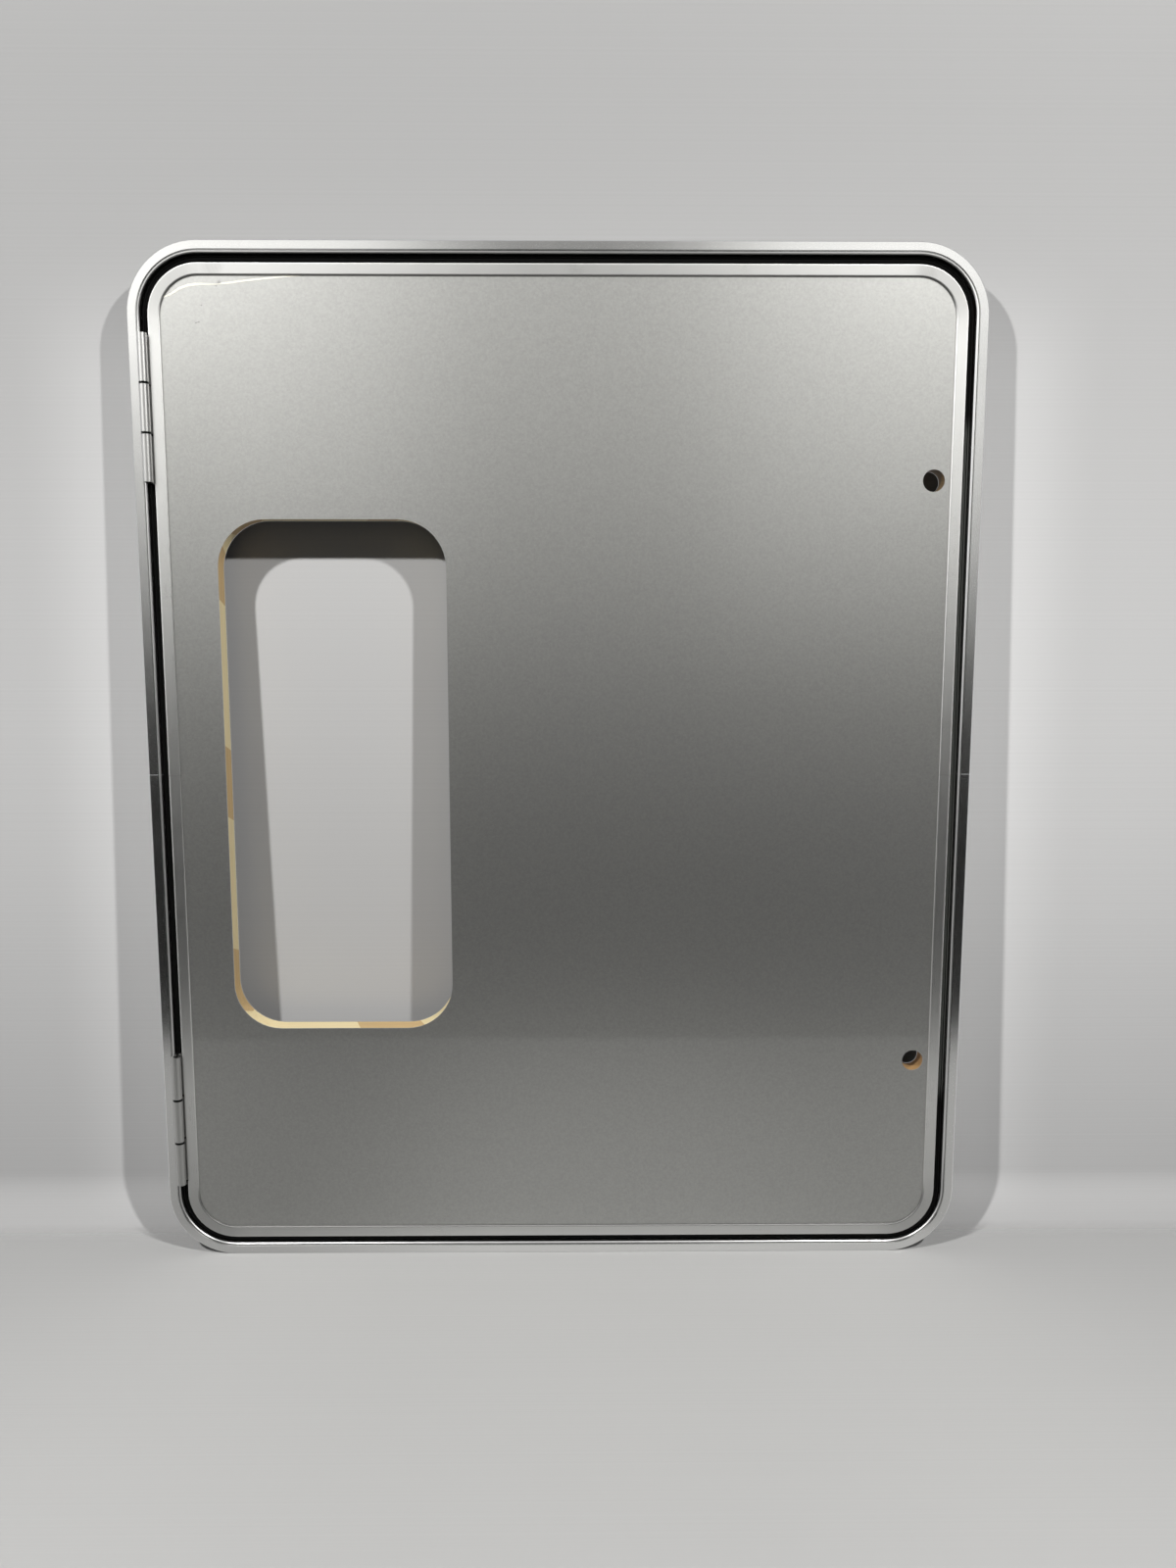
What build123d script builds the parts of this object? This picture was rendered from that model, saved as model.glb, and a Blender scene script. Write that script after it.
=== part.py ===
import os

from build123d import *

# Service hatch for a caravan wall: an aluminium surround with a rubber seal, and a
# sandwich door on two knuckle hinges. Millimetres, +X right, +Y into the wall, +Z up.
# The origin lies on the back of the bottom rail's flange, where the wall meets it.

# Door leaf
door_width = 800.0
door_height = 1000.0
door_corner_radius = 50.0
door_sag = 1.0  # how far the door hangs below the middle of its surround
leaf_thickness = 22.0  # from skin to skin
skin_thickness = 1.0
core_fit = 0.3  # between the edge trim's wall and the core and skins

# Edge trim round the leaf, a channel bent in two halves
trim_face = 12.0
trim_lip = 1.8
trim_wall = 1.5
trim_outer_round = 1.2  # front edge beside the gap
trim_inner_round = 1.5  # front edge on the skin

# Surround, an extrusion bent in two halves
door_gap = 7.5  # all round, if the door hung in the middle
frame_face = 12.5
flange_thickness = 3.0
flange_edge_chamfer = 1.0
web_thickness = 2.0
bead_width = 3.0
bead_chamfer = 0.9
bead_proud = 0.5  # crest in front of the flange's face
butt_gap = 0.4  # between the two halves of the surround, and of the edge trim
groove_width = 0.9
groove_depth = 1.0
rear_lip_overlap = 10.0  # how far the rear lip reaches behind the door's edge
rear_lip_thickness = 2.0

# Rubber seal in the gap and behind the door's edge
soft_fit = 0.3  # between the rubber and what it lies against
rib_width = 2.8
rib_height = 1.4
rib_depth = 4.5  # from the surround's face to the crests
rib_block = 7.5  # from the crests to the back of the ribbed part
seal_leg = 2.0
bulb_height = 6.0
bulb_reach = 7.0  # behind the door's edge
bulb_chamfer = 2.5

# Hinges
hinge_length = 142.0
upper_hinge_margin = 66.5  # from the door's top to the upper hinge
lower_hinge_margin = 62.0  # from the door's bottom to the lower hinge
axis_proud = 4.5  # hinge axis in front of the door's face
axis_offset = 4.6  # hinge axis beside the door's edge
knuckle_radius = 4.75
knuckle_count = 3
knuckle_play = 1.0
pin_radius = 3.0
pin_fit = 0.05
leaf_plate = 1.5
leaf_plate_depth = 18.0
crank_depth = 8.5  # from the door's face to the bend of the door leaf
knuckle_relief = 0.5
seal_notch_margin = 1.0

# Cut-out, empty, for a ventilation grille or a like fitting
cutout_width = 228.0
cutout_height = 525.0
cutout_radius = 48.0
cutout_side_margin = 58.0  # from the door's hinge edge
cutout_top_margin = 243.0

# Empty lock holes
lock_hole_radius = 11.0
lock_spacing = 600.0
lock_backset = 28.0  # from the door's lock edge
lock_drop = 5.0  # middle of the pair below the door's centre

# Timber in the core
rail_width = 62.0
rail_lap = 14.0  # how far the rails beside the cut-out reached into it before it was cut
hinge_post_width = 76.0
lock_stile_width = 70.0
trimmer_width = 62.0
trimmer_lap = 20.0

# Worked out from the sizes above
flange_seat = frame_face - web_thickness
frame_bottom = -flange_seat / 2
edge_to_door = frame_face + door_gap
frame_width = door_width + 2 * edge_to_door
frame_height = door_height + 2 * edge_to_door
frame_corner_radius = door_corner_radius + edge_to_door
middle_height = frame_bottom + frame_height / 2
door_left = -door_width / 2
door_right = door_width / 2
door_middle = middle_height - door_sag
door_bottom = door_middle - door_height / 2
door_top = door_middle + door_height / 2

door_front = -flange_thickness
skin_front = door_front + trim_lip
skin_back = skin_front + leaf_thickness
door_back = skin_back + trim_lip
core_front = skin_front + skin_thickness
core_back = skin_back - skin_thickness
lip_front = door_back + bulb_height + 2 * soft_fit
lip_back = lip_front + rear_lip_thickness
core_inset = trim_wall + core_fit

axis_x = door_left - axis_offset
axis_y = door_front - axis_proud
web_face_x = -frame_width / 2 + frame_face
leaf_plate_back = door_front + leaf_plate_depth
crank_back = door_front + crank_depth
knuckle_length = hinge_length / knuckle_count
upper_hinge_bottom = door_top - upper_hinge_margin - hinge_length
lower_hinge_bottom = door_bottom + lower_hinge_margin

cutout_left = door_left + cutout_side_margin
cutout_right = cutout_left + cutout_width
cutout_top = door_top - cutout_top_margin
cutout_bottom = cutout_top - cutout_height
lock_x = door_right - lock_backset
lock_heights = [door_middle - lock_drop + side * lock_spacing / 2 for side in (1, -1)]


def slab(outline, front, back):
    """Solid of an X-Z outline between two depths."""
    return extrude(Plane.XZ.offset(-front) * outline, amount=front - back)


def span(left, right, bottom, top):
    """Rectangle in X-Z between four edges."""
    return Pos((left + right) / 2, (bottom + top) / 2) * Rectangle(right - left, top - bottom)


def block(left, right, front, back, bottom, top):
    """Box between six faces."""
    return slab(span(left, right, bottom, top), front, back)


def rod(radius, bottom, top):
    """Upright cylinder on the hinge axis."""
    return Pos(axis_x, axis_y, (bottom + top) / 2) * Cylinder(radius, top - bottom)


def leaf_outline(inset):
    """The door's rounded outline, brought in all round."""
    size = (door_width - 2 * inset, door_height - 2 * inset)
    return Pos(0, door_middle) * RectangleRounded(*size, door_corner_radius - inset)


def cutout_outline():
    centre = Pos((cutout_left + cutout_right) / 2, (cutout_bottom + cutout_top) / 2)
    return centre * RectangleRounded(cutout_width, cutout_height, cutout_radius)


def lock_holes():
    return [Pos(lock_x, height) * Circle(lock_hole_radius) for height in lock_heights]


def bend(section, loop, side, gap=0.0):
    """Half of a bent profile, from mid-height over the top (side 1) or bottom (side -1).

    Its section is drawn as (inward, depth) from the loop's outer edge.
    """
    width, height, radius, middle = loop
    start = middle + side * gap / 2
    end = middle + side * height / 2
    points = [
        (-width / 2, 0, start),
        (-width / 2, 0, end),
        (width / 2, 0, end),
        (width / 2, 0, start),
    ]
    return sweep(Plane(points[0]) * section, path=FilletPolyline(*points, radius=radius))


def frame_section():
    """Flat band, groove and bead at the front, then the web and the lip behind the door's edge."""
    front = -flange_thickness
    bead_left = frame_face - bead_width
    bead_crest = front - bead_proud
    groove_left = bead_left - groove_width
    groove_floor = front + groove_depth
    lip_edge = edge_to_door + rear_lip_overlap
    return make_face(
        Polyline(
            (0, 0),
            (0, front + flange_edge_chamfer),
            (flange_edge_chamfer, front),
            (groove_left, front),
            (groove_left, groove_floor),
            (bead_left, groove_floor),
            (bead_left, bead_crest + bead_chamfer),
            (bead_left + bead_chamfer, bead_crest),
            (frame_face - bead_chamfer, bead_crest),
            (frame_face, bead_crest + bead_chamfer),
            (frame_face, lip_front),
            (lip_edge, lip_front),
            (lip_edge, lip_back),
            (flange_seat, lip_back),
            (flange_seat, 0),
            close=True,
        ).edges()
    )


def trim_section():
    """Channel round the leaf's edge, its front lip rounded on both sides."""
    lip_end = trim_face - trim_inner_round
    outline = CenterArc((trim_outer_round, door_front + trim_outer_round), trim_outer_round, 180, 90)
    outline += Line((trim_outer_round, door_front), (lip_end, door_front))
    outline += CenterArc((lip_end, door_front + trim_inner_round), trim_inner_round, 270, 90)
    outline += Polyline(
        (trim_face, door_front + trim_inner_round),
        (trim_face, skin_front),
        (trim_wall, skin_front),
        (trim_wall, skin_back),
        (trim_face, skin_back),
        (trim_face, door_back),
        (0, door_back),
        (0, door_front + trim_outer_round),
    )
    return make_face(outline.edges())


def seal_section():
    """Two ribs towards the front, a leg along the web and a bulb on the rear lip."""
    web_side = frame_face + soft_fit
    crest = -flange_thickness + rib_depth
    valley = crest + rib_height
    block_edge = web_side + 2 * rib_width
    block_back = crest + rib_block
    bulb_edge = edge_to_door + bulb_reach
    bulb_front = door_back + soft_fit
    bulb_back = lip_front - soft_fit
    return make_face(
        Polyline(
            (web_side, bulb_back),
            (web_side, valley),
            (web_side + rib_width / 2, crest),
            (web_side + rib_width, valley),
            (block_edge - rib_width / 2, crest),
            (block_edge, valley),
            (block_edge, block_back),
            (web_side + seal_leg, block_back),
            (web_side + seal_leg, bulb_front),
            (bulb_edge - bulb_chamfer, bulb_front),
            (bulb_edge, bulb_front + bulb_chamfer),
            (bulb_edge, bulb_back),
            close=True,
        ).edges()
    )


def hinge_notch(bottom):
    """Room in the seal for one hinge."""
    return block(
        web_face_x - seal_notch_margin,
        door_left + seal_notch_margin,
        axis_y,
        leaf_plate_back + seal_notch_margin,
        bottom - seal_notch_margin,
        bottom + hinge_length + seal_notch_margin,
    )


def frame_pieces():
    loop = (frame_width, frame_height, frame_corner_radius, middle_height)
    seal = bend(seal_section(), loop, 1) + bend(seal_section(), loop, -1)
    for bottom in (upper_hinge_bottom, lower_hinge_bottom):
        seal -= hinge_notch(bottom)
    return {
        "frame_upper_half": bend(frame_section(), loop, 1, butt_gap),
        "frame_lower_half": bend(frame_section(), loop, -1, butt_gap),
        "frame_seal": seal,
    }


def trim_pieces():
    loop = (door_width, door_height, door_corner_radius, door_middle)
    return {
        "door_trim_upper": bend(trim_section(), loop, 1, butt_gap),
        "door_trim_lower": bend(trim_section(), loop, -1, butt_gap),
    }


def skin_pieces():
    sheet = leaf_outline(core_inset) - cutout_outline() - lock_holes()
    return {
        "outer_skin": slab(sheet, skin_front, core_front),
        "inner_skin": slab(sheet, core_back, skin_back),
    }


def core_piece(left, right, bottom, top):
    """One piece of the core: a rectangle trimmed to the leaf, the cut-out and the lock holes."""
    outline = span(left, right, bottom, top) & leaf_outline(core_inset)
    return slab(outline - cutout_outline() - lock_holes(), core_front, core_back)


def core_pieces():
    left = door_left + core_inset
    right = door_right - core_inset
    bottom = door_bottom + core_inset
    top = door_top - core_inset
    post_right = left + hinge_post_width
    stile_left = right - lock_stile_width
    head_bottom = cutout_top - rail_lap
    head_top = head_bottom + rail_width
    sill_top = cutout_bottom + rail_lap
    sill_bottom = sill_top - rail_width
    top_rail_bottom = top - rail_width
    bottom_rail_top = bottom + rail_width
    trimmer_left = cutout_right - trimmer_lap
    trimmer_right = trimmer_left + trimmer_width
    return {
        "lock_stile": core_piece(stile_left, right, bottom, top),
        "top_rail": core_piece(left, stile_left, top_rail_bottom, top),
        "cutout_head_rail": core_piece(left, stile_left, head_bottom, head_top),
        "cutout_sill_rail": core_piece(left, stile_left, sill_bottom, sill_top),
        "bottom_rail": core_piece(left, stile_left, bottom, bottom_rail_top),
        "hinge_post_upper": core_piece(left, post_right, head_top, top_rail_bottom),
        "hinge_post_middle": core_piece(left, post_right, sill_top, head_bottom),
        "hinge_post_lower": core_piece(left, post_right, bottom_rail_top, sill_bottom),
        "cutout_trimmer": core_piece(trimmer_left, trimmer_right, sill_top, head_bottom),
        "foam_upper": core_piece(post_right, stile_left, head_top, top_rail_bottom),
        "foam_middle": core_piece(trimmer_right, stile_left, sill_top, head_bottom),
        "foam_lower": core_piece(post_right, stile_left, bottom_rail_top, sill_bottom),
    }


def frame_plate(bottom):
    """Flat plate on the surround's web."""
    return block(web_face_x, web_face_x + leaf_plate, axis_y, leaf_plate_back, bottom, bottom + hinge_length)


def door_plate(bottom):
    """Cranked plate: from behind the barrel, across the gap, then along the door's edge."""
    top = bottom + hinge_length
    stem = block(axis_x, axis_x + leaf_plate, axis_y, crank_back, bottom, top)
    step = block(axis_x, door_left, crank_back - leaf_plate, crank_back, bottom, top)
    return stem + step + block(door_left - leaf_plate, door_left, crank_back, leaf_plate_back, bottom, top)


def hinge_leaf(bottom, plate, own, others):
    """One leaf of a hinge: its plate, its own knuckles, and room for the other leaf's."""
    leaf = plate
    for index in others:
        low = bottom + index * knuckle_length
        leaf -= rod(knuckle_radius + knuckle_relief, low - knuckle_play, low + knuckle_length + knuckle_play)
    for index in own:
        low = bottom + index * knuckle_length
        leaf += rod(knuckle_radius, low + knuckle_play / 2, low + knuckle_length - knuckle_play / 2)
    return leaf - rod(pin_radius + pin_fit, bottom - knuckle_play, bottom + hinge_length + knuckle_play)


def hinge_pieces(name, bottom):
    door_knuckles = range(0, knuckle_count, 2)
    frame_knuckles = range(1, knuckle_count, 2)
    return {
        f"{name}_frame_leaf": hinge_leaf(bottom, frame_plate(bottom), frame_knuckles, door_knuckles),
        f"{name}_door_leaf": hinge_leaf(bottom, door_plate(bottom), door_knuckles, frame_knuckles),
        f"{name}_pin": rod(pin_radius, bottom, bottom + hinge_length),
    }


def main():
    pieces = frame_pieces() | trim_pieces() | skin_pieces() | core_pieces()
    pieces |= hinge_pieces("upper_hinge", upper_hinge_bottom)
    pieces |= hinge_pieces("lower_hinge", lower_hinge_bottom)
    os.makedirs("parts", exist_ok=True)
    for name, shape in pieces.items():
        export_step(shape, f"parts/{name}.step")
        print(f"{name}: {shape.volume / 1000:.1f} cm3")


main()
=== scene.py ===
import math

import bmesh
import bpy
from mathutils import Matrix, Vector


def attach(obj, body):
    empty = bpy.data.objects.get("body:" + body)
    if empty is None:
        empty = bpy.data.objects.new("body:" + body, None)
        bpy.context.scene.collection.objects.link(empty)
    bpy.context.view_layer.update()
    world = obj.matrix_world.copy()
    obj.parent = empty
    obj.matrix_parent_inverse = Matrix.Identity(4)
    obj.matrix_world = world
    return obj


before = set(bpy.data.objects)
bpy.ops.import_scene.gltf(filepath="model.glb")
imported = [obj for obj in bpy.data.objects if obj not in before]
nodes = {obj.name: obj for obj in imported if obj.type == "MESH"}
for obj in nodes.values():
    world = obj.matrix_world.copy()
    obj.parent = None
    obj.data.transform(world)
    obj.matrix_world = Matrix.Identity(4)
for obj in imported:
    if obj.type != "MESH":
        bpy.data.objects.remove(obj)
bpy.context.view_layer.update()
print("frame loaded,", len(nodes), "nodes")

mm = 0.001

# the door's outline, which the bent profiles follow
door = {"width": 800.0, "height": 1000.0, "corner": 50.0, "middle": 513.75, "frameMiddle": 514.75}


# Shader sums

def feed(tree, socket, value):
    if isinstance(value, Wire):
        tree.links.new(value.socket, socket)
    else:
        socket.default_value = value


def addNode(tree, kind, settings=None, inputs=None, out=0):
    # any node: its type, its settings first, then the values or links of its sockets
    node = tree.nodes.new(kind)
    for name, value in (settings or {}).items():
        setattr(node, name, value)
    for name, value in (inputs or {}).items():
        feed(tree, node.inputs[name], value)
    return Wire(tree, node.outputs[out])


class Wire:
    # one socket, sums on it add Math nodes
    def __init__(self, tree, socket):
        self.tree = tree
        self.socket = socket

    def math(self, operation, *others, swap=False):
        values = [self, *others]
        if swap:
            values.reverse()
        return addNode(self.tree, "ShaderNodeMath", {"operation": operation}, dict(enumerate(values)))

    def __add__(self, other):
        return self.math("ADD", other)

    def __sub__(self, other):
        return self.math("SUBTRACT", other)

    def __rsub__(self, other):
        return self.math("SUBTRACT", other, swap=True)

    def __mul__(self, other):
        return self.math("MULTIPLY", other)

    def __truediv__(self, other):
        return self.math("DIVIDE", other)

    def __abs__(self):
        return self.math("ABSOLUTE")

    def __neg__(self):
        return self * -1.0

    __radd__ = __add__
    __rmul__ = __mul__

    def low(self, other):
        return self.math("MINIMUM", other)

    def high(self, other):
        return self.math("MAXIMUM", other)

    def root(self):
        return self.math("SQRT")

    def rise(self, start, end):
        # 0 before start, 1 after end, soft between
        return addNode(self.tree, "ShaderNodeMapRange", {"interpolation_type": "SMOOTHSTEP"},
                       {"Value": self, "From Min": start, "From Max": end})

    def between(self, start, end, soft):
        return self.rise(start - soft, start + soft) * (1.0 - self.rise(end - soft, end + soft))


class Finish:
    # one material, with its places in millimetres
    def __init__(self, name, **fixed):
        self.material = bpy.data.materials.new(name)
        self.material.use_nodes = True
        self.tree = self.material.node_tree
        self.shader = self.tree.nodes["Principled BSDF"]
        self.place = self.add("ShaderNodeTexCoord", out="Object")
        metres = {"Vector": self.place}
        self.x, self.y, self.z = (
            self.add("ShaderNodeSeparateXYZ", inputs=metres, out=axis) * 1000.0 for axis in "XYZ"
        )
        for socket, value in fixed.items():
            self.shader.inputs[socket.replace("_", " ")].default_value = value

    def add(self, kind, settings=None, inputs=None, out=0):
        return addNode(self.tree, kind, settings, inputs, out)

    def set(self, socket, value):
        feed(self.tree, self.shader.inputs[socket], value)

    def blend(self, mask, first, second):
        # colours: first where mask is 0, second where it is 1
        return self.add("ShaderNodeMix", {"data_type": "RGBA"}, {0: mask, 6: first, 7: second}, out=2)

    def tint(self, colour, amount):
        # a colour made lighter or darker by a value
        grey = self.add("ShaderNodeCombineXYZ", inputs={"X": amount, "Y": amount, "Z": amount})
        return self.add("ShaderNodeMix", {"data_type": "RGBA", "blend_type": "MULTIPLY"},
                        {0: 1.0, 6: colour, 7: grey}, out=2)

    def stretched(self, x, y, z):
        # places squeezed along the axes, for grain that runs one way
        return self.add("ShaderNodeVectorMath", {"operation": "MULTIPLY"}, {0: self.place, 1: (x, y, z)})

    def noise(self, scale, detail=2.0, rough=0.5, at=None):
        return self.add("ShaderNodeTexNoise", inputs={
            "Vector": at or self.place, "Scale": scale, "Detail": detail, "Roughness": rough})

    def lines(self, along, scale, detail=2.0):
        # noise that only changes along one value
        return self.add("ShaderNodeTexNoise", {"noise_dimensions": "1D"},
                        {"W": along, "Scale": scale, "Detail": detail})

    def bump(self, height, depth, strength=1.0):
        self.set("Normal", self.add("ShaderNodeBump", inputs={
            "Height": height, "Distance": depth, "Strength": strength}))

    def fromEdge(self, middle):
        # millimetres out from the door's edge, the same all round the rounded outline
        acrossX = abs(self.x) - (door["width"] / 2 - door["corner"])
        acrossZ = abs(self.z - middle) - (door["height"] / 2 - door["corner"])
        cornerX = acrossX.high(0.0)
        cornerZ = acrossZ.high(0.0)
        far = (cornerX * cornerX + cornerZ * cornerZ).root()
        return far + acrossX.high(acrossZ).low(0.0) - door["corner"]

    def dash(self, mark):
        # 1 inside a short stroke on the face
        turn = math.radians(mark["turn"])
        offX = self.x - mark["x"]
        offZ = self.z - mark["z"]
        along = abs(offX * math.cos(turn) + offZ * math.sin(turn))
        across = abs(offZ * math.cos(turn) - offX * math.sin(turn))
        inside = 1.0 - along.rise(mark["length"] * 0.3, mark["length"] * 0.5)
        return inside * (1.0 - across.rise(mark["width"] * 0.2, mark["width"] * 0.5))

    def near(self, x, z, reach):
        offX = self.x - x
        offZ = self.z - z
        return 1.0 - (offX * offX + offZ * offZ).root().rise(reach * 0.3, reach)


# Camera

cameraSet = {
    "place": (0.0174, -1.2009, 0.6636),
    "pitchDown": 7.537,
    "turn": -0.502,
    "lens": 27.09,
    "sensor": 36.0,
}


def makeCamera():
    data = bpy.data.cameras.new("camera")
    data.lens = cameraSet["lens"]
    data.sensor_width = cameraSet["sensor"]
    camera = bpy.data.objects.new("camera", data)
    camera.location = cameraSet["place"]
    camera.rotation_euler = (math.radians(90 - cameraSet["pitchDown"]), 0, math.radians(cameraSet["turn"]))
    bpy.context.scene.collection.objects.link(camera)
    bpy.context.scene.camera = camera


makeCamera()
print("camera made")


# Stage: floor, wall, lamps, world, and boards that only show in the metal

stageSet = {
    "floorLevel": -0.00525,
    "floorReach": 9.0,
    "wallAt": 0.0665,
    "wallSweep": 0.058,  # the paper's bend from the floor to the wall
    "wallSteps": 12,
    "wallLift": 0.0002,
    "wallLean": 0.033,
    "wallHalf": 1.15,
    "wallTop": 1.75,
    "wallFade": (0.78, 1.12),
    "topFade": (1.36, 1.72),
    "wallPaper": (0.60, 0.60, 0.605, 1),
    "floorPaper": (0.585, 0.585, 0.585, 1),
    "floorGlow": 0.54,
    "air": (0.64, 0.64, 0.645, 1),
    "fill": (0.05, 0.15),  # soft light from the front and from behind
    "fillOver": (-0.3, 0.3),
    "sideAir": (1.0, 0.75),  # brighter air far left, darker far right, in the metal
    "sideFrom": (0.6, 0.85),
    "sideAhead": (-0.15, 0.15),
    "lampColour": (1.0, 0.992, 0.97),
    "boardColour": (1.0, 0.995, 0.97, 1),
    "keySize": 0.20,
    "washSize": 0.08,
    "lamps": ((-1.0, -1.285, 1.82), (1.0, -1.285, 1.82)),
    "lampAim": (0.0, 0.0, 0.55),
    "keyLift": 0.30,
    "keyWatts": (18.0, 18.0),
    "washWatts": (27.0, 25.0),
    "paperEdge": -0.66,
    "boardAt": -4.0,
    "boardHalf": 6.0,
    "boardTop": 4.5,
    "boardLift": 0.003,
    "paperLift": 0.0005,
    "shroudHalf": 0.4085,
    "shroudDepth": (0.020, 0.0675),
    "shroudHeight": (0.00625, 1.02325),
    "shroudCorner": 0.0585,
    "shroudSteps": 8,
}


def stageObject(name, mesh, material):
    piece = bpy.data.objects.new(name, mesh)
    bpy.context.scene.collection.objects.link(piece)
    piece.data.materials.append(material)
    return piece


def sheetMesh(name, points, pull, closed=False):
    # a row of vertices pulled into a sheet
    work = bmesh.new()
    row = [work.verts.new(point) for point in points]
    following = row[1:] + row[:1] if closed else row[1:]
    edges = [work.edges.new(pair) for pair in zip(row, following)]
    pulled = bmesh.ops.extrude_edge_only(work, edges=edges)
    moved = [v for v in pulled["geom"] if isinstance(v, bmesh.types.BMVert)]
    bmesh.ops.translate(work, verts=moved, vec=pull)
    mesh = bpy.data.meshes.new(name)
    work.to_mesh(mesh)
    work.free()
    return mesh


def stripMesh(name, profile, half):
    return sheetMesh(name, [(-half, y, z) for y, z in profile], (2 * half, 0, 0))


def shroudMesh():
    # a ring from the frame's web to the wall: keeps side light out, as a wall opening does
    half = stageSet["shroudHalf"]
    front, back = stageSet["shroudDepth"]
    low, high = stageSet["shroudHeight"]
    bend = stageSet["shroudCorner"]
    steps = stageSet["shroudSteps"]
    right, top, left, bottom = half - bend, high - bend, bend - half, low + bend
    points = []
    for corner, (x, z) in enumerate(((right, top), (left, top), (left, bottom), (right, bottom))):
        for step in range(steps):
            turn = math.radians(90 * (corner + step / (steps - 1)))
            points.append((x + bend * math.cos(turn), front, z + bend * math.sin(turn)))
    return sheetMesh("shroud", points, (0, back - front, 0), closed=True)


paperSet = {
    "ribs": 0.06,
    "hatchSide": (0.37, 0.40),  # behind the hatch the wall keeps one tone
    "hatchTop": (0.93, 0.99),
    "low": 1.27,  # painted light: the wall's tone at the bottom, and its fall with height
    "fall": 0.60,
    "fallOver": (0.35, 1.25),
    "leftRight": 0.06,  # painted shade and light: a little darker at the left, lighter at the right
    "leftRightOver": (-0.7, 0.7),
    "beside": 0.20,  # painted light: lighter close beside the hatch, where its shadows fall
    "besideOver": (0.45, 0.56),
    "besideTop": (0.90, 1.05),
    "foot": 0.975,  # the foot takes the floor's tone
    "footOver": (0.0, 0.06),
    "footFade": (0.0002, 0.012),
    # painted light: the floor is lighter towards the sides
    "floorSides": 0.07,
    "floorSidesOver": (0.1, 0.45),
    "far": (1.3, 3.4),  # painted light: the floor glows far away, and where the hatch keeps the lamps off it
    "back": (0.05, 0.25),
    "backGlow": 0.62,
}


def paperFinish(name, faded):
    finish = Finish(name, Roughness=0.9, Specular_IOR_Level=0.1)
    across = finish.x * mm
    side = abs(finish.x) * mm
    height = finish.z * mm
    ribs = finish.lines(finish.z + finish.y, 0.45)
    shade = 1.0 - paperSet["ribs"] / 2 + paperSet["ribs"] * ribs
    if faded:
        # painted light and shade on the wall, outside the hatch's outline
        outside = side.rise(*paperSet["hatchSide"]).high(height.rise(*paperSet["hatchTop"]))
        sides = 1.0 + paperSet["leftRight"] * (across.rise(*paperSet["leftRightOver"]) * 2.0 - 1.0)
        close = (1.0 - side.rise(*paperSet["besideOver"])) * (1.0 - height.rise(*paperSet["besideTop"]))
        above = height - stageSet["floorLevel"]
        fall = paperSet["fall"] * height.rise(*paperSet["fallOver"])
        tone = (paperSet["low"] - fall) * sides * (1.0 + paperSet["beside"] * close)
        tone = paperSet["foot"] + (tone - paperSet["foot"]) * above.rise(*paperSet["footOver"])
        shade = shade * (1.0 + outside * (tone - 1.0))
        ends = (1.0 - side.rise(*stageSet["wallFade"])) * (1.0 - height.rise(*stageSet["topFade"]))
        behind = finish.add("ShaderNodeNewGeometry", out="Backfacing")  # one-sided, so the hatch's back shows
        finish.set("Alpha", ends * above.rise(*paperSet["footFade"]) * (1.0 - behind))
    else:
        shade = shade * (1.0 + paperSet["floorSides"] * side.rise(*paperSet["floorSidesOver"]))
        away = ((finish.x * finish.x + finish.y * finish.y).root() * mm).rise(*paperSet["far"])
        glow = away.high((finish.y * mm).rise(*paperSet["back"]) * paperSet["backGlow"])
        finish.set("Emission Color", finish.tint((1.0, 1.0, 1.0, 1), glow * stageSet["floorGlow"]))
        finish.shader.inputs["Emission Strength"].default_value = 1.0
        finish.material.cycles.emission_sampling = "NONE"
    finish.set("Base Color", finish.tint(stageSet[name], shade))
    return finish.material


def boardFinish(name, glow=None):
    # black, or a glow by height and side, as a dim room has
    finish = Finish(name, Roughness=1.0, Specular_IOR_Level=0.0, Base_Color=(0, 0, 0, 1))
    if glow:
        finish.set("Emission Color", finish.tint(stageSet["boardColour"], glow(finish)))
        finish.shader.inputs["Emission Strength"].default_value = 1.0
        finish.material.cycles.emission_sampling = "NONE"  # the metal finds it, no lamp rays are spent on it
    return finish.material


roomSet = {
    "dark": 0.053,  # at the floor, and the gain with height
    "light": 0.97,
    "lightOver": (0.20, 1.31),
    "middle": 0.305,  # the room is darker straight ahead
    "middleOver": (0.30, 0.95),
    "upper": 0.24,  # lighter high up at both sides
    "upperHeight": (1.0, 1.6),
    "upperSide": (0.4, 1.2),
    "lamp": 3.6,  # brightest in the upper corners
    "lampSide": (1.5, 4.06),
    "lampHeight": (1.09, 2.42),
    "leftLoss": 0.44,  # darker far left and far right, below these heights
    "leftFrom": (1.3, 1.7),
    "leftHeight": (1.45, 2.0),
    "rightLoss": 0.42,
    "rightFrom": (1.4, 1.75),
    "rightHeight": (1.85, 2.35),
    "floor": 0.016,  # bare floor in front of the paper
    "floorCloud": 0.25,
    "paper": 0.53,  # the lit paper, as the metal shows it
    "paperMiddle": 0.96,
    "paperDips": ((-1, 0.30, 0.05, 0.35), (1, 0.10, 0.15, 0.40)),  # side, loss, from, to
    "paperLifts": ((-1, 0.22, 0.40, 0.60), (1, 0.12, 0.40, 0.60)),
    "paperFoot": 0.3,
    "paperFootOver": (-0.08, -0.01),
}


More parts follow.
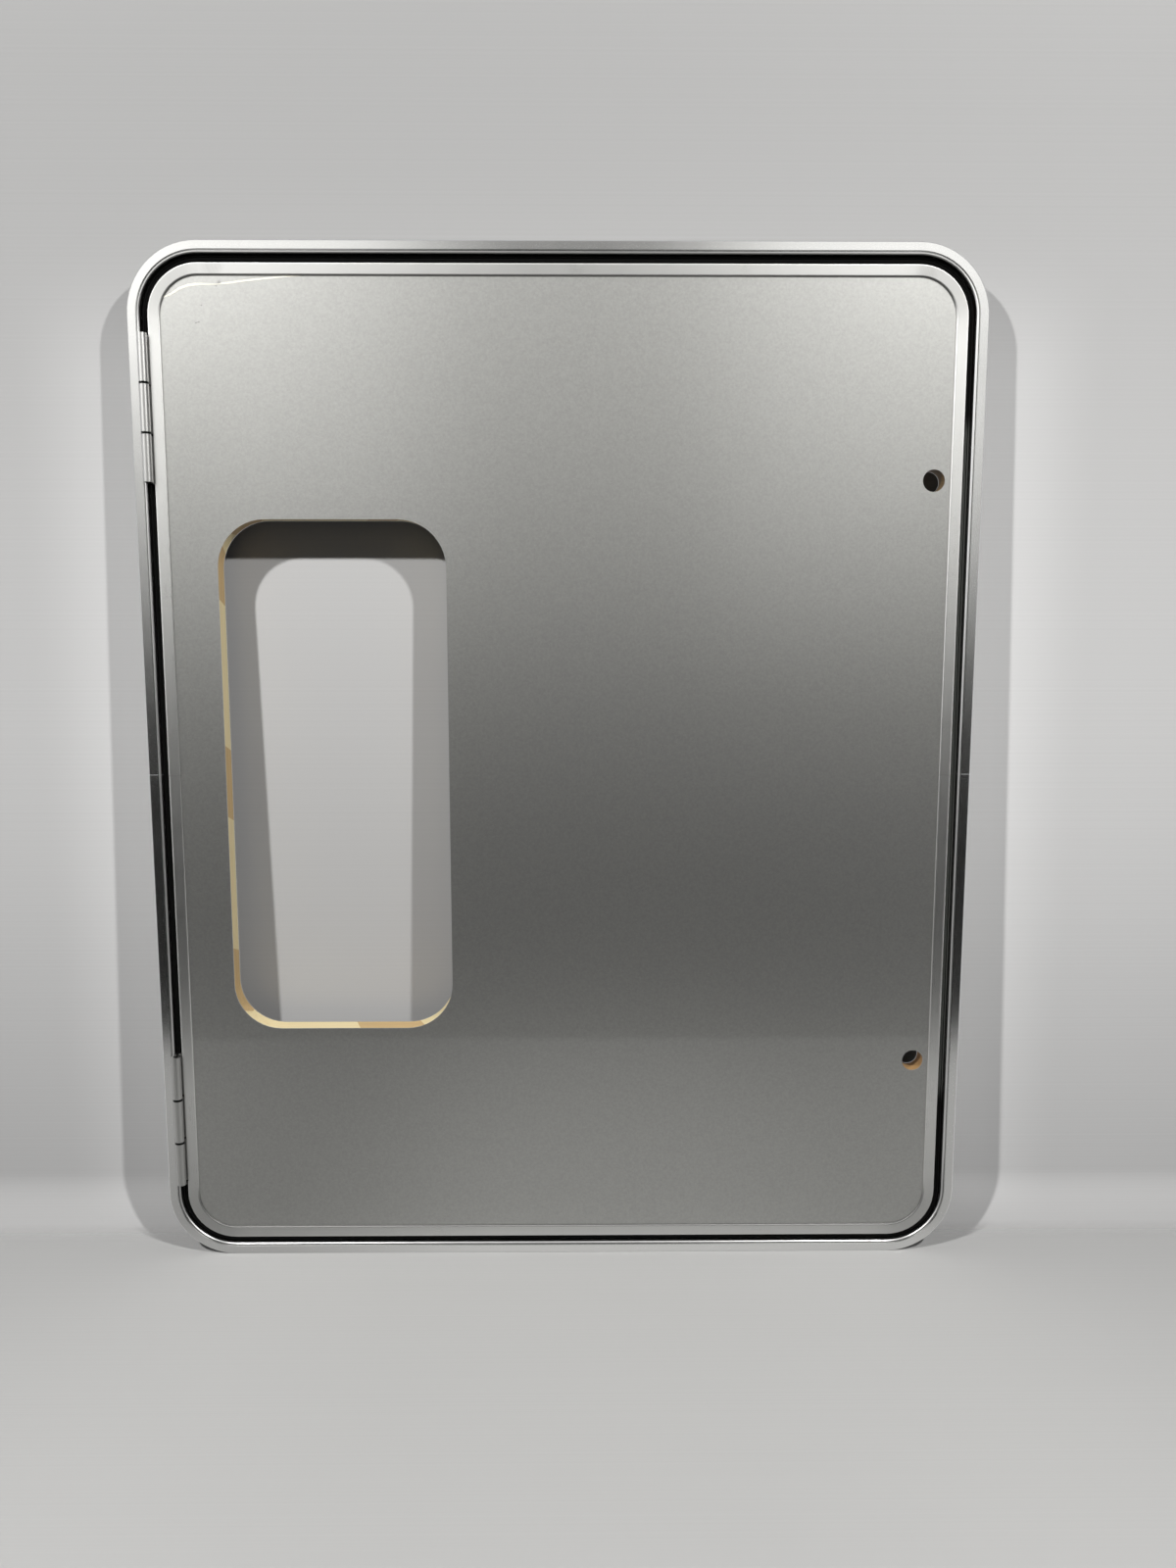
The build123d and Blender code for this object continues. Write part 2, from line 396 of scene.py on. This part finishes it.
def roomGlow(finish):
    across = finish.x * mm
    height = finish.z * mm
    side = abs(across)
    wall = roomSet["dark"] + roomSet["light"] * height.rise(*roomSet["lightOver"])
    wall = wall * (roomSet["middle"] + (1.0 - roomSet["middle"]) * side.rise(*roomSet["middleOver"]))
    upper = roomSet["upper"] * height.rise(*roomSet["upperHeight"]) * side.rise(*roomSet["upperSide"])
    left = (-across).rise(*roomSet["leftFrom"]) * (1.0 - height.rise(*roomSet["leftHeight"]))
    right = across.rise(*roomSet["rightFrom"]) * (1.0 - height.rise(*roomSet["rightHeight"]))
    sides = (1.0 - roomSet["leftLoss"] * left) * (1.0 - roomSet["rightLoss"] * right)
    lamp = roomSet["lamp"] * side.rise(*roomSet["lampSide"]) * height.rise(*roomSet["lampHeight"])
    return (wall + upper) * sides + lamp


def floorGlow(finish):
    return roomSet["floor"] * (1.0 + roomSet["floorCloud"] * finish.noise(2.0))


def paperGlow(finish):
    across = finish.x * mm
    tone = roomSet["paperMiddle"]
    for way, loss, start, end in roomSet["paperDips"]:
        tone = tone - loss * (across * way).rise(start, end)
    for way, gain, start, end in roomSet["paperLifts"]:
        tone = tone + gain * (across * way).rise(start, end)
    foot = 1.0 + roomSet["paperFoot"] * (finish.y * mm).rise(*roomSet["paperFootOver"])
    return roomSet["paper"] * tone * foot


def hideFrom(piece, *rays):
    for ray in rays:
        setattr(piece, "visible_" + ray, False)


def makePaper():
    level = stageSet["floorLevel"]
    reach = stageSet["floorReach"]
    wallAt = stageSet["wallAt"]
    paper = paperFinish("floorPaper", False)
    for name, near, far in (("floor", -reach, wallAt), ("floorBehind", wallAt, reach)):
        floor = stageObject(name, stripMesh(name, [(near, level), (far, level)], reach), paper)
        hideFrom(floor, "diffuse", "glossy")  # keeps the space behind the hatch and the gaps dark

    sweep = stageSet["wallSweep"]
    steps = stageSet["wallSteps"]
    foot = level + stageSet["wallLift"]
    top = stageSet["wallTop"]
    turns = [math.pi / 2 * step / steps for step in range(steps + 1)]
    profile = [(wallAt - sweep * (1 - math.sin(turn)), foot + sweep * (1 - math.cos(turn))) for turn in turns]
    profile.append((wallAt - stageSet["wallLean"] * top, top))
    mesh = stripMesh("wall", profile, stageSet["wallHalf"])
    for face in mesh.polygons:
        face.use_smooth = True
    if mesh.polygons[-1].normal.y > 0:
        mesh.flip_normals()
    wall = stageObject("wall", mesh, paperFinish("wallPaper", True))
    hideFrom(wall, "diffuse", "glossy", "shadow", "transmission")


def makeBoards():
    level = stageSet["floorLevel"]
    shroud = stageObject("shroud", shroudMesh(), boardFinish("shroudBlack"))
    hideFrom(shroud, "camera", "glossy", "transmission")

    boardAt = stageSet["boardAt"]
    paperEdge = stageSet["paperEdge"]
    lift = level + stageSet["boardLift"]
    paperLift = level + stageSet["paperLift"]
    boards = (
        ("roomBoard", ((boardAt, lift + mm), (boardAt, stageSet["boardTop"])), roomGlow),
        ("floorBoard", ((boardAt, lift), (paperEdge, lift)), floorGlow),
        ("paperBoard", ((paperEdge, paperLift), (stageSet["wallAt"], paperLift)), paperGlow),
    )
    for name, profile, glow in boards:
        mesh = stripMesh(name, profile, stageSet["boardHalf"])
        board = stageObject(name, mesh, boardFinish(glow.__name__, glow))
        hideFrom(board, "camera", "diffuse", "shadow", "transmission")


def makeLamps():
    lift = {"key": Vector((0, 0, stageSet["keyLift"])), "wash": Vector((0, 0, 0))}
    for index, (side, place) in enumerate(zip(("Left", "Right"), stageSet["lamps"])):
        aim = Vector(stageSet["lampAim"]) - Vector(place)
        for use in ("key", "wash"):
            data = bpy.data.lights.new(use + side, "AREA")
            data.shape = "DISK"
            data.size = stageSet[use + "Size"]
            data.energy = stageSet[use + "Watts"][index]
            data.color = stageSet["lampColour"]
            lamp = bpy.data.objects.new(use + side, data)
            lamp.location = Vector(place) + lift[use]
            lamp.rotation_euler = aim.to_track_quat("-Z", "Y").to_euler()
            # the key gives the gloss, the wash lights the paper and the wood
            hideFrom(lamp, "diffuse" if use == "key" else "glossy")
            bpy.context.scene.collection.objects.link(lamp)


def makeWorld():
    world = bpy.data.worlds.new("air")
    bpy.context.scene.world = world
    world.use_nodes = True
    tree = world.node_tree
    camera, gloss, through, bounces = (
        addNode(tree, "ShaderNodeLightPath", out=ray)
        for ray in ("Is Camera Ray", "Is Glossy Ray", "Is Transmission Ray", "Diffuse Depth")
    )
    # light that has already bounced off the paper or the wood finds no bright air
    seen = camera.high(gloss).high(through) * bounces.math("LESS_THAN", 0.5)
    aim = {"Vector": addNode(tree, "ShaderNodeTexCoord", out="Generated")}
    across, along = (addNode(tree, "ShaderNodeSeparateXYZ", inputs=aim, out=axis) for axis in "XY")
    front, behind = stageSet["fill"]
    fill = front + (behind - front) * along.rise(*stageSet["fillOver"])
    ahead = gloss * (1.0 - along.rise(*stageSet["sideAhead"]))
    leftGain, rightLoss = stageSet["sideAir"]
    sideFrom = stageSet["sideFrom"]
    sides = 1.0 + ahead * (leftGain * (-across).rise(*sideFrom) - rightLoss * across.rise(*sideFrom))
    soft = (1.0 - seen) * (1.0 - gloss) * fill / stageSet["air"][0]
    back = tree.nodes["Background"]
    back.inputs["Color"].default_value = stageSet["air"]
    feed(tree, back.inputs["Strength"], seen * sides + soft)


makePaper()
makeBoards()
makeLamps()
makeWorld()
bpy.context.scene.view_settings.view_transform = "Standard"
print("stage made")


# Finishes of the metal

sheetSet = {
    "colour": (0.405, 0.405, 0.393, 1),
    "roughness": 0.40,
    "flake": 0.25,
    "cloud": 0.34,
    "relief": 0.00004,
    "nick": {"x": -352.1, "z": 957.9, "length": 5.5, "width": 1.1, "turn": 12.0},
    "markDark": 0.55,
    "specks": ((-329.5, 995.2, 2.6), (-332.5, 992.4, 1.8), (-347.5, 974.0, 1.2)),
}


def sheetFinish(name, marked):
    # silver lacquer with fine flake under a clear coat
    finish = Finish(name, Metallic=1.0, Coat_Weight=1.0, Coat_Roughness=0.06, Coat_IOR=1.55)
    flake = finish.noise(1400, 2.0, 0.7)
    cloud = finish.noise(420, 3.0, 0.6)
    shade = 1.0 + sheetSet["flake"] * (flake - 0.5) + sheetSet["cloud"] * (cloud - 0.5)
    height = 0.6 * flake + 0.4 * cloud
    if marked:
        nick = finish.dash(sheetSet["nick"])
        for x, z, reach in sheetSet["specks"]:
            nick = nick.high(0.6 * finish.near(x, z, reach))
        shade = shade * (1.0 - sheetSet["markDark"] * nick)
        height = height - 3.0 * nick
    finish.set("Base Color", finish.tint(sheetSet["colour"], shade))
    finish.set("Roughness", sheetSet["roughness"] + 0.06 * (cloud - 0.5))
    finish.bump(height, sheetSet["relief"], 0.5)
    return finish.material


profileSet = {
    "frame": {"colour": (0.70, 0.70, 0.695, 1), "roughness": 0.17, "relief": 0.000008},
    "trim": {"colour": (0.62, 0.62, 0.61, 1), "roughness": 0.29, "relief": 0.00002},
    "hinge": {"colour": (0.46, 0.46, 0.452, 1), "roughness": 0.35, "relief": 0.000004},
    "bendMarks": ((-335.0, 1011.1), (356.7, 1006.5)),
    "bendMarkReach": 14.0,
    "bendMarkDepth": 5.0,
    "bendMarkDark": 0.25,
    "bendPaintedShade": 0.18,  # painted shade: the trim's bent corners are darker
    "bendOver": (-25.0, 22.0),
    "innerEdge": (-12.6, -10.5),  # millimetres out from the door's edge, as below
    # painted shade along the trim's inner rounded edge at the top and the bottom, which is also rougher there
    "innerPaintedShade": 0.58,
    "innerRough": 0.22,
    "innerTop": (968.0, 988.0),
    "innerLow": (52.0, 76.0),
    "outerEdge": (-1.5, 1.0),
    "outerRough": 0.15,
    "sidePaintedReflection": 0.25,  # painted reflection: the trim is lighter along the sides, and half as much along the top
    "sideFrom": (60.0, 200.0),
    "sideTop": (930.0, 990.0),
    "trimSlope": 5.0,  # the trim's face leans a little to the skin
    # painted shade on the frame: darker in the groove, at the bead's foot and side, and along the bead at the
    # top and the bottom
    "groove": (9.8, 10.9),
    "groovePaintedShade": 0.50,
    "bead": (7.0, 9.8),
    "beadTopPaintedShade": 0.50,
    "beadTop": (945.0, 975.0),
    "beadEnd": (385.0, 408.0),
    "beadFoot": (6.8, 7.8),
    "beadFootPaintedShade": 0.45,
    "beadRough": 0.16,
    "beadSide": (9.0, 9.8),
    "beadSidePaintedShade": 0.60,
    "beadLowPaintedShade": 0.25,
    "beadLow": (60.0, 120.0),
    "soft": 0.25,
    "knuckleLines": (852.58, 899.92, 123.08, 170.42),
    "lineHalf": 1.3,
    "lineSoft": 0.25,
}


def profileFinish(name, look, marked=False):
    # satin anodised extrusion: fine die lines that follow the bend
    finish = Finish(name, Metallic=1.0)
    edge = finish.fromEdge(door["middle"] if marked else door["frameMiddle"])
    fine = finish.lines(edge + 0.02 * finish.y, 5.5, 3.0)
    cloud = finish.noise(35, 3.0, 0.6)
    grain = finish.noise(900, 2.0, 0.6)
    shade = 1.0 + 0.05 * (fine - 0.5) + 0.05 * (cloud - 0.5)
    height = fine + 0.3 * grain
    rough = look["roughness"] + 0.06 * (fine - 0.5) + 0.05 * (cloud - 0.5)
    soft = profileSet["soft"]
    if marked:
        wrinkle = finish.lines(finish.x + 0.4 * finish.z, 0.9, 2.0)
        for x, z in profileSet["bendMarks"]:
            place = finish.near(x, z, profileSet["bendMarkReach"])
            height = height + profileSet["bendMarkDepth"] * place * wrinkle
            shade = shade * (1.0 - profileSet["bendMarkDark"] * place * wrinkle)
        # painted shade: the trim's bent corners are darker
        inX = abs(finish.x) - (door["width"] / 2 - door["corner"])
        inZ = abs(finish.z - door["middle"]) - (door["height"] / 2 - door["corner"])
        bend = inX.rise(*profileSet["bendOver"]) * inZ.rise(*profileSet["bendOver"])
        shade = shade * (1.0 - profileSet["bendPaintedShade"] * bend)
        # painted reflection: the trim's colour is lighter along the sides, and half as much along the top
        along = finish.z.rise(*profileSet["sideFrom"]) * (1.0 - 0.5 * finish.z.rise(*profileSet["sideTop"]))
        shade = shade * (1.0 + profileSet["sidePaintedReflection"] * along)
        # painted shade along the inner rounded edge at the top and the bottom, which is also rougher there
        ends = finish.z.rise(*profileSet["innerTop"]).high(1.0 - finish.z.rise(*profileSet["innerLow"]))
        innerShadeMask = ends * edge.between(*profileSet["innerEdge"], soft)
        shade = shade * (1.0 - profileSet["innerPaintedShade"] * innerShadeMask)
        rough = rough + profileSet["innerRough"] * innerShadeMask
        rough = rough + profileSet["outerRough"] * edge.between(*profileSet["outerEdge"], soft)
        height = height + profileSet["trimSlope"] * edge
    else:
        # painted shade: the groove and the bead's foot and side are darker, and the bead is darker along the
        # top and the bottom, which narrows and dims its highlight
        top = finish.z.rise(*profileSet["beadTop"]) * (1.0 - finish.x.rise(*profileSet["beadEnd"]))
        low = 1.0 - finish.z.rise(*profileSet["beadLow"])
        bead = edge.between(*profileSet["bead"], soft)
        rough = rough + profileSet["beadRough"] * bead
        shade = shade * (1.0 - profileSet["groovePaintedShade"] * edge.between(*profileSet["groove"], soft))
        shade = shade * (1.0 - profileSet["beadFootPaintedShade"] * edge.between(*profileSet["beadFoot"], soft))
        shade = shade * (1.0 - profileSet["beadSidePaintedShade"] * low * edge.between(*profileSet["beadSide"], soft))
        shade = shade * (1.0 - profileSet["beadLowPaintedShade"] * low * bead)
        shade = shade * (1.0 - profileSet["beadTopPaintedShade"] * top * bead)
    finish.set("Base Color", finish.tint(look["colour"], shade))
    finish.set("Roughness", rough)
    finish.bump(height, look["relief"], 0.5)
    return finish.material


def hingeFinish():
    # the barrels are drawn lengthwise, so the lines run up them
    look = profileSet["hinge"]
    finish = Finish("hingeSatin", Metallic=1.0)
    drawn = finish.noise(1.0, 3.0, 0.6, finish.stretched(1600, 1600, 14))
    cloud = finish.noise(60, 3.0, 0.6)
    shade = 0.985 + 0.03 * drawn
    half = profileSet["lineHalf"]
    for level in profileSet["knuckleLines"]:  # painted shade: near-black bands at the joints between the knuckles
        shade = shade * (0.02 + 0.98 * abs(finish.z - level).rise(half - profileSet["lineSoft"], half))
    finish.set("Base Color", finish.tint(look["colour"], shade))
    finish.set("Roughness", look["roughness"] + 0.06 * (drawn - 0.5) + 0.05 * (cloud - 0.5))
    finish.bump(drawn, look["relief"], 0.4)
    return finish.material


def pinFinish():
    # painted shade: the pin is near black, so it shows as a dark line between the knuckles
    finish = Finish("pinBlack", Metallic=1.0)
    cloud = finish.noise(300, 3.0, 0.6)
    finish.set("Base Color", finish.blend(cloud, (0.012, 0.012, 0.012, 1), (0.035, 0.034, 0.032, 1)))
    finish.set("Roughness", 0.50 + 0.2 * cloud)
    finish.bump(cloud, 0.00003, 0.4)
    return finish.material


# Rubber, timber and foam

rubberSet = {
    "colour": (0.002, 0.002, 0.002, 1),
    "paintedSheen": (0.10, 0.105, 0.098, 1),
    "valley": (4.3, 5.1),
    "lockSide": (172.0, 862.0),  # painted sheen: paler ribs beside the lock holes
    "lockSideAt": (395.0, 400.0),
}


def rubberFinish():
    finish = Finish("sealRubber", Specular_IOR_Level=0.15)
    edge = finish.fromEdge(door["frameMiddle"])
    fine = finish.lines(edge, 4.0, 2.0)
    dust = finish.noise(500, 3.0, 0.7)
    lockSide = finish.z.between(*rubberSet["lockSide"], 12.0) * finish.x.rise(*rubberSet["lockSideAt"])
    # painted sheen on the ribs beside the lock holes; the valley between the ribs stays black as painted
    # shade
    sheenMask = lockSide * (0.75 + 0.25 * fine) * (1.0 - edge.between(*rubberSet["valley"], 0.2))
    colour = finish.blend(sheenMask, rubberSet["colour"], rubberSet["paintedSheen"])
    finish.set("Base Color", finish.tint(colour, 0.85 + 0.3 * dust))
    finish.set("Roughness", 0.72 + 0.15 * (dust - 0.5) - 0.2 * lockSide)
    finish.bump(fine + 0.4 * dust, 0.00005, 0.5)
    return finish.material


timberSet = {
    "light": (0.98, 0.835, 0.505, 1),
    "tan": (0.66, 0.47, 0.235, 1),
    "late": (0.88, 0.70, 0.385, 1),
    "slant": 0.35,
    "holePaintedShade": (
        (372.0, 808.75, 11.5, (0.16, 0.10, 0.035, 1)),
        (372.0, 208.75, 11.5, (0.46, 0.28, 0.12, 1)),
    ),
    "fingers": {
        "hinge_post_middle": ("z", ((692.1, 744.8), (471.0, 544.5), (264.7, 332.0))),
        "cutout_sill_rail": ("x", ((-211.8, -144.1), (40.0, 160.0))),
        "cutout_head_rail": ("x", ((-330.0, -296.0), (-190.0, -160.0), (60.0, 210.0))),
        "cutout_trimmer": ("z", ((300.0, 420.0), (560.0, 640.0))),
        "lock_stile": ("z", ((190.0, 330.0), (520.0, 650.0), (860.0, 935.0))),
        "top_rail": ("x", ((-260.0, -90.0), (130.0, 260.0))),
        "bottom_rail": ("x", ((-180.0, -20.0), (210.0, 300.0))),
        "hinge_post_upper": ("z", ((860.0, 930.0),)),
        "hinge_post_lower": ("z", ((110.0, 180.0),)),
    },
}


def timberFinish(name, axis, tanBlocks):
    # finger-jointed softwood: pale and tan blocks end to end, grain along the length
    finish = Finish(name + "Timber", Specular_IOR_Level=0.3)
    along = finish.x if axis == "x" else finish.z
    place = along + timberSet["slant"] * finish.y
    squeeze = (9, 420, 420) if axis == "x" else (420, 420, 9)
    grain = finish.noise(1.0, 4.0, 0.6, finish.stretched(*squeeze))
    pores = finish.noise(1.0, 2.0, 0.7, finish.stretched(*(v * 4 for v in squeeze)))
    tan = None
    for start, end in tanBlocks:
        block = place.between(start, end, 0.25)
        tan = block if tan is None else tan.high(block)
    pale = finish.blend(grain.rise(0.45, 0.75), timberSet["light"], timberSet["late"])
    colour = finish.blend(tan, pale, finish.tint(timberSet["tan"], 0.85 + 0.4 * grain))
    shade = 0.90 + 0.2 * pores
    for x, z, reach, holeShade in timberSet["holePaintedShade"]:  # painted shade: the lock holes' walls are darker
        offX = finish.x - x
        offZ = finish.z - z
        colour = finish.blend((offX * offX + offZ * offZ).root().rise(reach, reach + 1.0), holeShade, colour)
    finish.set("Base Color", finish.tint(colour, shade))
    finish.set("Roughness", 0.66 + 0.2 * (pores - 0.5))
    finish.bump(grain + 0.5 * pores, 0.0002, 0.5)
    return finish.material


def foamFinish():
    finish = Finish("coreFoam", Roughness=0.85)
    cells = finish.add("ShaderNodeTexVoronoi", {"feature": "F1"}, {"Vector": finish.place, "Scale": 900.0})
    finish.set("Base Color", finish.tint((0.80, 0.81, 0.78, 1), 0.85 + 0.25 * cells))
    finish.bump(cells, 0.0003, 0.6)
    return finish.material


def dress(names, material):
    for name in names:
        nodes[name].data.materials.clear()
        nodes[name].data.materials.append(material)


dress(["outer_skin"], sheetFinish("silverSheet", True))
dress(["inner_skin"], sheetFinish("silverSheetBack", False))
dress(["frame_upper_half", "frame_lower_half"], profileFinish("frameSatin", profileSet["frame"]))
dress(["door_trim_upper", "door_trim_lower"], profileFinish("trimSatin", profileSet["trim"], True))
dress([n for n in nodes if n.endswith("_leaf")], hingeFinish())
dress([n for n in nodes if n.endswith("_pin")], pinFinish())
dress(["frame_seal"], rubberFinish())
for timber, (axis, blocks) in timberSet["fingers"].items():
    dress([timber], timberFinish(timber, axis, blocks))
dress(["foam_upper", "foam_middle", "foam_lower"], foamFinish())
print("finishes made")


# Torn edge of the protective film, left on the sheet at the upper hinge corner

filmSet = {
    "face": -1.2,
    "thick": 0.12,
    "route": (  # across, up, width
        (-387.2, 980.2, 0.5), (-382.0, 982.2, 1.0), (-377.0, 984.3, 1.3), (-372.5, 987.0, 1.6),
        (-368.2, 989.6, 1.6), (-364.0, 991.3, 1.6), (-359.5, 992.6, 1.6), (-353.0, 993.5, 1.5),
        (-347.2, 993.8, 1.3), (-340.0, 993.7, 1.0), (-333.0, 993.6, 0.5), (-330.0, 993.8, 0.5),
        (-325.8, 994.4, 1.1), (-318.0, 995.3, 1.2), (-309.6, 996.4, 1.2), (-300.0, 997.5, 1.2),
        (-291.9, 998.4, 1.1), (-283.0, 999.3, 1.0), (-274.4, 1000.1, 0.9), (-265.0, 1000.9, 0.8),
        (-257.3, 1001.4, 0.6), (-249.0, 1001.8, 0.4),
    ),
    "colour": (0.99, 0.975, 0.86, 1),
    "widen": 1.7,
}


def filmFinish():
    finish = Finish("filmWhite", Roughness=0.35)
    cloud = finish.noise(220, 3.0, 0.6)
    finish.set("Base Color", finish.tint(filmSet["colour"], 0.92 + 0.16 * cloud))
    finish.bump(cloud, 0.0001, 0.5)
    return finish.material


def filmEdge():
    # one row of points along the tear, pulled down to its width, then given its thickness
    work = bmesh.new()
    face = filmSet["face"] * mm
    route = [(x, z, wide * filmSet["widen"]) for x, z, wide in filmSet["route"]]
    upper = [work.verts.new((x * mm, face, (z + wide / 2) * mm)) for x, z, wide in route]
    edges = [work.edges.new(pair) for pair in zip(upper, upper[1:])]
    pulled = bmesh.ops.extrude_edge_only(work, edges=edges)
    lower = sorted((v for v in pulled["geom"] if isinstance(v, bmesh.types.BMVert)), key=lambda v: v.co.x)
    for vert, (x, z, wide) in zip(lower, route):
        vert.co.z -= wide * mm
    bmesh.ops.recalc_face_normals(work, faces=work.faces)
    work.faces.ensure_lookup_table()
    if work.faces[0].normal.y > 0:
        bmesh.ops.reverse_faces(work, faces=work.faces)
    bmesh.ops.solidify(work, geom=work.faces[:], thickness=-filmSet["thick"] * mm)
    bmesh.ops.recalc_face_normals(work, faces=work.faces)
    mesh = bpy.data.meshes.new("film_edge")
    work.to_mesh(mesh)
    work.free()
    piece = bpy.data.objects.new("film_edge", mesh)
    piece.data.materials.append(filmFinish())
    bpy.context.scene.collection.objects.link(piece)
    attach(piece, "door")
    return piece


filmPiece = filmEdge()
low, high = (tuple(f(v.co[i] for v in filmPiece.data.vertices) for i in range(3)) for f in (min, max))
print("film edge made", low, high)
